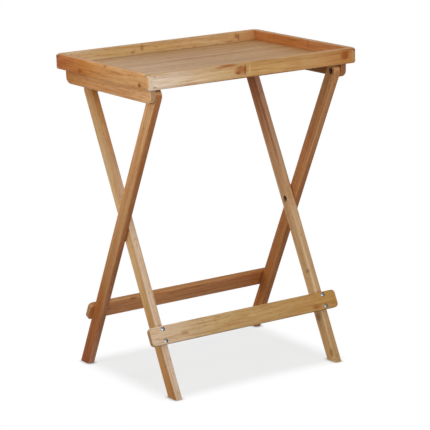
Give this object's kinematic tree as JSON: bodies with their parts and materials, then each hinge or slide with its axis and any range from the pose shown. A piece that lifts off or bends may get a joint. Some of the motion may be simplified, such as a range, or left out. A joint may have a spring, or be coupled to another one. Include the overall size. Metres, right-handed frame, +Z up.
{
  "type": "folding tray table",
  "caption": "Folding tray table in laminated bamboo: a shallow tray on crossed scissor legs with stretchers, hinged to fold flat.",
  "frame": {"origin": "on the floor, under the middle of the tray", "axes": "+X along the tray's long side, -Y is the front, where the tray's hinge and the inner legs' feet are, +Z up"},
  "size_m": [0.5, 0.355, 0.66],
  "materials": {
    "bamboo_tray": "satin lacquered laminated bamboo",
    "bamboo_panel": "satin lacquered laminated bamboo, strips along the tray",
    "bamboo_rails": "satin lacquered laminated bamboo",
    "bamboo_legs": "satin lacquered laminated bamboo",
    "bamboo_stretchers": "satin lacquered laminated bamboo",
    "bamboo_blocks": "satin lacquered bamboo",
    "zinc_steel": "zinc-plated steel",
    "black_steel": "black-oxide steel",
    "brass": "turned brass",
    "nylon": "natural nylon"
  },
  "bodies": {
    "outer_frame": {"outer_leg_left": "bamboo_legs", "outer_leg_right": "bamboo_legs", "rear_stretcher": "bamboo_stretchers", "rear_stretcher_screws": "zinc_steel", "crossing_bolts": "black_steel", "crossing_washers": "zinc_steel", "crossing_spacers": "nylon", "crossing_inserts": "brass"},
    "inner_frame": {"inner_leg_left": "bamboo_legs", "inner_leg_right": "bamboo_legs", "front_stretcher": "bamboo_stretchers", "front_stretcher_screws": "zinc_steel", "cross_bar": "bamboo_blocks", "cross_bar_pins": "zinc_steel"},
    "tray": {"tray_panel": "bamboo_panel", "wall_front": "bamboo_tray", "wall_back": "bamboo_tray", "wall_left": "bamboo_tray", "wall_right": "bamboo_tray", "rail_left": "bamboo_rails", "rail_right": "bamboo_rails", "rail_screws": "zinc_steel", "catch_left": "bamboo_blocks", "catch_right": "bamboo_blocks", "catch_screws": "zinc_steel", "tray_hinge_bolts": "black_steel", "tray_hinge_washers": "zinc_steel", "tray_hinge_spacers": "nylon", "tray_hinge_inserts": "brass"}
  },
  "joints": [
    {"name": "leg_fold", "type": "hinge", "parent": "outer_frame", "child": "inner_frame", "pos_m": [0, -0.00271, 0.3215], "axis": [1, 0, 0], "range_deg": [0, 52.3]},
    {"name": "tray_lift", "type": "hinge", "parent": "outer_frame", "child": "tray", "pos_m": [0, -0.1465, 0.61275], "axis": [1, 0, 0], "range_deg": [0, 116]}
  ]
}
